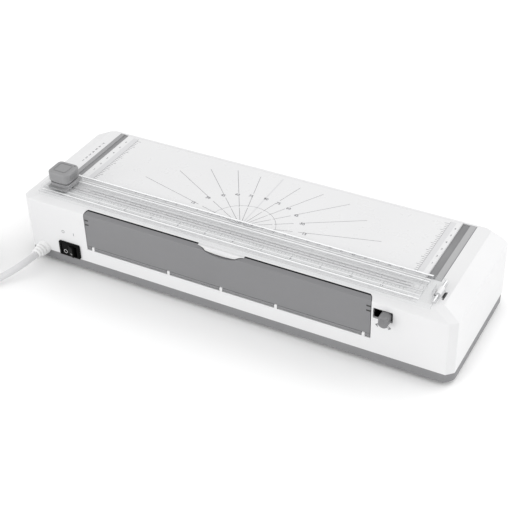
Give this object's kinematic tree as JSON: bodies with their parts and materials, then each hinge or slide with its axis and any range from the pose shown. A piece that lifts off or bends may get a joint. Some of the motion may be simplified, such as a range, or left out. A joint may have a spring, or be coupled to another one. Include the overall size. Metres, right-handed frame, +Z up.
{
  "type": "pouch laminator",
  "caption": "White pouch laminator with a grey drop-down front flap, heated rollers, and a sliding rotary cutter in a clear hinged rail over a ruled trimming bed",
  "frame": {"origin": "middle of the footprint of the machine without its cord, on the surface its feet stand on", "axes": "+X along the machine to its right-hand end, -Y out of the front with the flap, +Z up"},
  "size_m": [0.4968, 0.239, 0.0846],
  "materials": {
    "white_shell": "fine grained moulding, satin",
    "base_grey": "fine grained moulding, satin",
    "rubber": "moulded, matt",
    "zinc_screws": "bright zinc",
    "bed_white": "smooth printed plate",
    "mat_grey": "soft cutting strip",
    "strip_grey": "ribbed grip strip",
    "clear_rail": "clear moulded acrylic, polished",
    "steel_pin": "turned bar",
    "carriage_grey": "fine grained",
    "cap_grey": "fine grained, grooved end",
    "blade_steel": "ground edge",
    "spring_steel": "drawn wire",
    "flap_grey": "fine grained moulding, satin",
    "switch_black": "smooth",
    "rocker_black": "smooth with raised marks",
    "release_grey": "fine grained",
    "roller_rubber": "ground silicone rubber",
    "nylon": "natural nylon",
    "bronze": "sintered bearing bronze",
    "zinc_plate": "zinc plated sheet",
    "motor_can": "plated can",
    "throat_black": "heat resistant moulding",
    "heater_alu": "extruded",
    "guide_black": "heat resistant moulding",
    "board_green": "solder mask",
    "thermostat_body": "bakelite",
    "terminal_white": "nylon",
    "component_black": "moulded cases and a finned heat sink",
    "pin_brass": "nickel plated",
    "cord_grey": "smooth vinyl"
  },
  "bodies": {
    "body": {"top_housing": "white_shell", "base_tray": "base_grey", "rubber_feet": "rubber", "case_screws": "zinc_screws", "trim_bed": "bed_white", "cutting_strip": "mat_grey", "left_edge_strip": "strip_grey", "right_edge_strip": "strip_grey", "rail_hinge_bracket": "zinc_plate", "rail_hinge_pin": "steel_pin", "flap_hinge_pin": "steel_pin", "switch_bezel": "switch_black", "rocker_pin": "steel_pin", "lower_bushes": "bronze", "spring_bridges": "zinc_plate", "side_frame_left": "zinc_plate", "side_frame_right": "zinc_plate", "frame_screws": "zinc_screws", "gear_motor": "motor_can", "motor_bracket": "zinc_plate", "feed_throat_lower": "throat_black", "feed_throat_upper": "throat_black", "lower_heater_plate": "heater_alu", "upper_heater_plate": "heater_alu", "exit_guide_lower": "guide_black", "exit_guide_upper": "guide_black", "exit_guide_ends": "guide_black", "control_board": "board_green", "board_parts": "component_black", "thermostat": "thermostat_body", "terminal_block": "terminal_white", "lead_tail": "cord_grey", "strain_relief": "cord_grey", "power_cord": "cord_grey", "cord_coil": "cord_grey", "plug": "cord_grey", "plug_pins": "pin_brass"},
    "flap": {"front_flap": "flap_grey"},
    "rocker": {"power_rocker": "rocker_black"},
    "release": {"release_slider": "release_grey"},
    "lift": {"upper_bushes": "nylon", "pressure_springs": "spring_steel"},
    "lower_roller": {"lower_roller_shaft": "steel_pin", "lower_roller_sleeve": "roller_rubber", "lower_roller_gear": "nylon"},
    "upper_roller": {"upper_roller_shaft": "steel_pin", "upper_roller_sleeve": "roller_rubber", "upper_roller_gear": "nylon"},
    "motor_rotor": {"motor_pinion": "steel_pin"},
    "rail": {"cutter_rail": "clear_rail"},
    "carriage": {"cutter_carriage": "carriage_grey"},
    "cap": {"cutter_cap": "cap_grey", "blade_axle": "steel_pin", "press_springs": "spring_steel"},
    "wheel": {"blade_wheel": "blade_steel"}
  },
  "joints": [
    {"name": "flap_hinge", "type": "hinge", "parent": "body", "child": "flap", "pos_m": [0, -0.0546, 0.0271], "axis": [1, 0, 0], "range_deg": [0, 90]},
    {"name": "rocker_tilt", "type": "hinge", "parent": "body", "child": "rocker", "pos_m": [-0.15, -0.055, 0.0195], "axis": [0, 0, 1], "range_deg": [0, 24]},
    {"name": "release_slide", "type": "slide", "parent": "body", "child": "release", "axis": [-1, 0, 0], "range_m": [0, 0.006]},
    {"name": "roller_lift", "type": "slide", "parent": "body", "child": "lift", "axis": [0, 0, 1], "range_m": [0, 0.001], "deforming": ["pressure_springs"]},
    {"name": "lower_roller_turn", "type": "hinge", "parent": "body", "child": "lower_roller", "pos_m": [0, 0.002, 0.0358], "axis": [1, 0, 0], "continuous": true},
    {"name": "upper_roller_turn", "type": "hinge", "parent": "lift", "child": "upper_roller", "pos_m": [0, 0.002, 0.0522], "axis": [1, 0, 0], "continuous": true},
    {"name": "motor_turn", "type": "hinge", "parent": "body", "child": "motor_rotor", "pos_m": [-0.145, 0.01512, 0.0358], "axis": [1, 0, 0], "continuous": true},
    {"name": "rail_hinge", "type": "hinge", "parent": "body", "child": "rail", "pos_m": [0.173, -0.034, 0.0698], "axis": [0, 1, 0], "range_deg": [0, 35]},
    {"name": "cutter_slide", "type": "slide", "parent": "rail", "child": "carriage", "axis": [1, 0, 0], "range_m": [0, 0.31]},
    {"name": "cutter_press", "type": "slide", "parent": "carriage", "child": "cap", "axis": [0, 0, -1], "range_m": [0, 0.002], "stiffness_N_per_m": 400, "springref_m": -0.001, "deforming": ["press_springs"]},
    {"name": "blade_spin", "type": "hinge", "parent": "cap", "child": "wheel", "pos_m": [-0.164, -0.034, 0.0738], "axis": [0, 1, 0], "continuous": true}
  ],
  "couplings": [
    {"joint": "roller_lift", "follows": "release_slide", "ratio": 0.16667},
    {"joint": "upper_roller_turn", "follows": "lower_roller_turn", "ratio": -1},
    {"joint": "motor_turn", "follows": "lower_roller_turn", "ratio": -1.6667}
  ]
}
